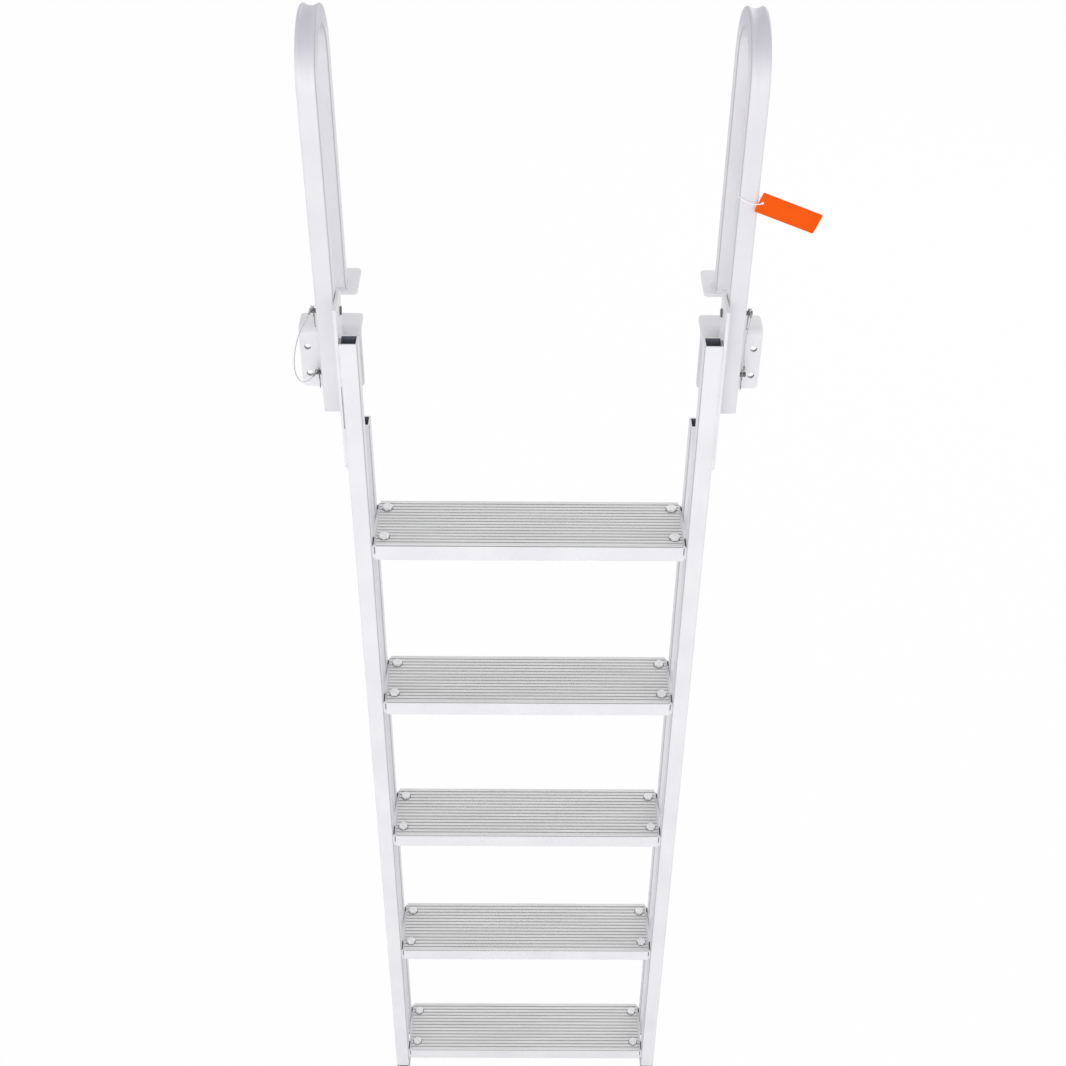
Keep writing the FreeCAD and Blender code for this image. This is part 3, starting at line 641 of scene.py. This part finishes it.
def hex_head(mesh, centre, turned):
    """A hexagon head whose top corners are cut by a cone, with a shallow dish in the middle."""
    corner = FLATS / math.sqrt(3)
    rim = bmesh.ops.create_circle(mesh, cap_ends=True, segments=6, radius=corner)["verts"]
    base = rim[0].link_faces[0]
    raised = bmesh.ops.extrude_face_region(mesh, geom=[base])["geom"]
    top_verts = [item for item in raised if isinstance(item, bmesh.types.BMVert)]
    bmesh.ops.translate(mesh, verts=top_verts, vec=(0, 0, HEAD))
    top_edges = [item for item in raised if isinstance(item, bmesh.types.BMEdge)]
    bmesh.ops.subdivide_edges(mesh, edges=top_edges, cuts=7)
    top_face = [face for face in mesh.faces
                if all(abs(vertex.co.z - HEAD) < 1e-6 for vertex in face.verts)]
    bmesh.ops.inset_individual(mesh, faces=top_face, thickness=RIM)
    for vertex in mesh.verts:
        if abs(vertex.co.z - HEAD) < 1e-6:
            away = math.hypot(vertex.co.x, vertex.co.y)
            vertex.co.z -= max(0.0, away - CONE_STARTS) * CHAMFER
    inner = [face for face in mesh.faces if len(face.verts) > 20]
    bmesh.ops.inset_individual(mesh, faces=inner, thickness=DISH, depth=-DISH_DEPTH)
    bmesh.ops.create_cone(mesh, cap_ends=True, segments=32, radius1=WASHER_FOOT, radius2=WASHER_RIM,
                          depth=WASHER, matrix=Matrix.Translation((0, 0, WASHER / 2)))
    place = Matrix.Translation(centre) @ Matrix.Rotation(turned, 4, "Z")
    bmesh.ops.transform(mesh, matrix=place, verts=mesh.verts)


for number, step_top in enumerate(STEP_TOPS, 1):
    heads = bmesh.new()
    for count, (outward, y) in enumerate((outward, y) for outward in (-1, 1) for y in BOLT_ROWS):
        single = bmesh.new()
        tightened = 0.35 + 0.83 * (count + 2 * number)
        hex_head(single, (MIDDLE_X + outward * BOLT_ASIDE, y, step_top), tightened)
        join_in(heads, single)
    bolts = finish_mesh("step_bolt_heads_%d" % number, heads, bolt_steel, "ladder")
    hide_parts("step_bolts_%d" % number)

# Caps: black moulded plastic plugs, pushed into the rails' lower ends. Each shows a thin flange under the
# tube.
cap_plastic = finish_material("cap_plastic", (0.022, 0.022, 0.025, 1), (0.045, 0.045, 0.048, 1), 0.55, 0.0,
                              (60, 60, 60), (1800, 1800, 1800), 0.00006)[0]
dress([side + "_rail_caps" for side in SIDES], cap_plastic)

# Pins and clips: turned stainless pins with flat heads, dull and a little stained, that pass through the
# legs and plates. The clips through their ends are bent spring wire, blotched dark and bright.
pin_steel = finish_material("pin_steel", (0.10, 0.095, 0.095, 1), (0.20, 0.195, 0.19, 1), 0.5, 0.7,
                            (300, 300, 300), (2000, 2000, 2000), 0.00003)[0]
clip_steel = finish_material("clip_steel", (0.055, 0.045, 0.048, 1), (0.60, 0.56, 0.56, 1), 0.35, 0.9,
                             (520, 520, 520), (2000, 2000, 2000), 0.00003)[0]
dress([side + part for side in SIDES for part in ("_hinge_pin", "_stop_pin")], pin_steel)
dress([side + part for side in SIDES for part in ("_hinge_clip", "_stop_clip")], clip_steel)

# The lanyards: thin stranded stainless wire from each hinge clip to the stop clip below it, with a crimped
# sleeve and a small loop at each end. The left one sags beside the bracket, and the right one hangs
# almost straight by the leg.
WIRE = 0.0012
CRIMP_STARTS = 0.004
CRIMP_LENGTH = 0.007
CRIMP = 0.0028
LOOP_RADIUS = 0.0022
LOOP_AXIS = (0, -0.7, -0.7)
UPPER_LOOP_SHIFT = (0.0006, -0.0010, 0)
LOWER_LOOP_SHIFT = (0.0006, 0, 0.0006)
wire_steel = finish_material("wire_steel", (0.40, 0.39, 0.39, 1), (0.78, 0.76, 0.75, 1), 0.42, 0.8,
                             (900, 900, 900), (2500, 2500, 2500), 0.0001)[0]
crimp_steel = finish_material("crimp_steel", (0.16, 0.15, 0.15, 1), (0.48, 0.46, 0.45, 1), 0.45, 0.8,
                              (700, 700, 700), (2500, 2500, 2500), 0.0001)[0]


def cord_curve(name, route, diameter, material):
    """A smooth cord through a route's control points."""
    curve = bpy.data.curves.new(name, "CURVE")
    curve.dimensions = "3D"
    line = curve.splines.new("NURBS")
    line.points.add(len(route) - 1)
    for spot, place in zip(line.points, route):
        spot.co = (*place, 1)
    line.order_u = 3
    line.use_endpoint_u = True
    curve.resolution_u = 12
    curve.bevel_depth = diameter / 2
    curve.bevel_resolution = 3
    curve.use_fill_caps = True
    curve.materials.append(material)
    cord = bpy.data.objects.new(name, curve)
    bpy.context.collection.objects.link(cord)
    return cord


left_lanyard_route = [
    (-0.0173, -0.0202, 0.0878),
    (-0.0230, -0.0230, 0.0736),
    (-0.0335, -0.0230, 0.0563),
    (-0.0415, -0.0220, 0.0345),
    (-0.0470, -0.0200, 0.0081),
    (-0.0470, -0.0195, -0.0128),
    (-0.0405, -0.0205, -0.0247),
    (-0.0310, -0.0218, -0.0219),
    (-0.0220, -0.0232, -0.0128),
    (-0.0173, -0.0213, -0.0043),
]
right_lanyard_route = [
    (0.5313, -0.0202, 0.0878),
    (0.5330, -0.0245, 0.0773),
    (0.5310, -0.0265, 0.0673),
    (0.5288, -0.0268, 0.0509),
    (0.5284, -0.0265, 0.0336),
    (0.5290, -0.0262, 0.0172),
    (0.5311, -0.0252, 0.0063),
    (0.5313, -0.0213, -0.0043),
]


def cord_points(cord):
    """Points along a cord's own smooth line, from its exit to its far end."""
    bare = cord.copy()
    bare.data = cord.data.copy()
    bare.data.bevel_depth = 0
    line = bpy.data.meshes.new_from_object(bare)
    points = [vertex.co.copy() for vertex in line.vertices]
    bpy.data.objects.remove(bare)
    bpy.data.meshes.remove(line)
    return points


def crimp(name, points):
    """A crimped sleeve near a cord's end, with bevelled ends and two pressed waists."""
    walked = 0.0
    ends = []
    for before, after in zip(points, points[1:]):
        walked += (after - before).length
        if walked >= CRIMP_STARTS + len(ends) * CRIMP_LENGTH and len(ends) < 2:
            ends.append(after)
    sleeve = bmesh.new()
    bmesh.ops.create_cone(sleeve, cap_ends=True, segments=16, radius1=CRIMP / 2, radius2=CRIMP / 2,
                          depth=CRIMP_LENGTH)
    long_edges = [edge for edge in sleeve.edges
                  if abs(edge.verts[0].co.z - edge.verts[1].co.z) > CRIMP_LENGTH / 2]
    bmesh.ops.subdivide_edges(sleeve, edges=long_edges, cuts=11)
    for vertex in sleeve.verts:
        along = vertex.co.z / CRIMP_LENGTH + 0.5
        pressed = 0.16 * max(0.0, math.sin(along * 2 * math.pi * 2 - 1.2))
        bevelled = 0.25 * (abs(along - 0.5) > 0.49)
        waist = 1 - pressed - bevelled
        vertex.co.x *= waist
        vertex.co.y *= waist
    swing = (ends[1] - ends[0]).to_track_quat("Z", "Y").to_matrix().to_4x4()
    bmesh.ops.transform(sleeve, matrix=Matrix.Translation((ends[0] + ends[1]) / 2) @ swing,
                        verts=sleeve.verts)
    return finish_mesh(name, sleeve, crimp_steel, "handrails")


def wire_loop(name, centre):
    """The lanyard's end, bent into a small ring round the clip's eye."""
    ring = bmesh.new()
    bmesh.ops.create_circle(ring, segments=10, radius=WIRE / 2,
                            matrix=Matrix.Translation((LOOP_RADIUS, 0, 0))
                            @ Matrix.Rotation(math.pi / 2, 4, "X"))
    bmesh.ops.spin(ring, geom=ring.verts[:] + ring.edges[:], cent=(0, 0, 0), axis=(0, 0, 1),
                   angle=2 * math.pi, steps=28, use_merge=True)
    swing = Vector(LOOP_AXIS).to_track_quat("Z", "Y").to_matrix().to_4x4()
    bmesh.ops.transform(ring, matrix=Matrix.Translation(centre) @ swing, verts=ring.verts)
    return finish_mesh(name, ring, wire_steel, "handrails")


for side, route, length in (("left", left_lanyard_route, 0.1511),
                            ("right", right_lanyard_route, 0.0943)):
    lanyard = cord_curve(side + "_lanyard_wire", route, WIRE, wire_steel)
    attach(lanyard, "handrails")
    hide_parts(side + "_lanyard")
    line = cord_points(lanyard)
    inward = Vector((1 if side == "left" else -1, 1, 1))
    upper_loop = wire_loop(side + "_upper_loop", Vector(route[0]) + inward * Vector(UPPER_LOOP_SHIFT))
    lower_loop = wire_loop(side + "_lower_loop", Vector(route[-1]) + inward * Vector(LOWER_LOOP_SHIFT))
    upper_crimp = crimp(side + "_upper_crimp", line)
    lower_crimp = crimp(side + "_lower_crimp", line[::-1])

# The tag's string: thin white twine from its turn round the right handrail to the hole in the tag.
# It's tied at the hole with a small knot, and its turn with a flat one on the leg's inner side.
twine = finish_material("twine", (0.93, 0.93, 0.92, 1), (0.98, 0.98, 0.97, 1), 0.85, 0.0,
                        (1200, 1200, 1200), (3000, 3000, 3000), 0.0001)[0]
TAG_HOLE = (0.5297, -0.0345, 0.2385)
KNOT_RADIUS = 0.0013
FLAT_KNOT = (0.5018, -0.0235, 0.2445)
FLAT_KNOT_RADIUS = 0.0016
FLATTENED = 0.35
tag_string_route = [
    (0.5022, -0.0284, 0.2440),
    (0.5052, -0.0330, 0.2428),
    (0.5130, -0.0351, 0.2391),
    (0.5219, -0.0357, 0.2373),
    TAG_HOLE,
]
tag_twine = cord_curve("tag_twine", tag_string_route, 0.0012, twine)
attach(tag_twine, "handrails")
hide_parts("tag_string")
knot_mesh = bmesh.new()
bmesh.ops.create_icosphere(knot_mesh, subdivisions=3, radius=KNOT_RADIUS)
for vertex in knot_mesh.verts:
    vertex.co *= 1 + 0.15 * math.sin(vertex.co.x * 5200 + vertex.co.z * 3900)
bmesh.ops.translate(knot_mesh, verts=knot_mesh.verts, vec=TAG_HOLE)
tag_knot = finish_mesh("tag_knot", knot_mesh, twine, "handrails")
flat_knot_mesh = bmesh.new()
bmesh.ops.create_icosphere(flat_knot_mesh, subdivisions=3, radius=FLAT_KNOT_RADIUS)
for vertex in flat_knot_mesh.verts:
    vertex.co *= 1 + 0.12 * math.sin(vertex.co.y * 4700 + vertex.co.z * 3600)
    vertex.co.x *= FLATTENED
bmesh.ops.translate(flat_knot_mesh, verts=flat_knot_mesh.verts, vec=FLAT_KNOT)
finish_mesh("band_knot", flat_knot_mesh, twine, "handrails")

# The tag: a blank sheet of orange plastic, dull, with rounded corners and a hole at one end. The turn that
# holds it to the leg is the same white twine.
tag_plastic, _, tag_shader, _, _ = finish_material(
    "tag_plastic", (0.84, 0.090, 0.001, 1), (0.87, 0.100, 0.001, 1), 0.6, 0.0,
    (50, 50, 50), (500, 500, 500), 0.00005)
tag_shader.inputs["Specular IOR Level"].default_value = 0.1
dress(["hang_tag"], tag_plastic)
dress(["tag_band"], twine)
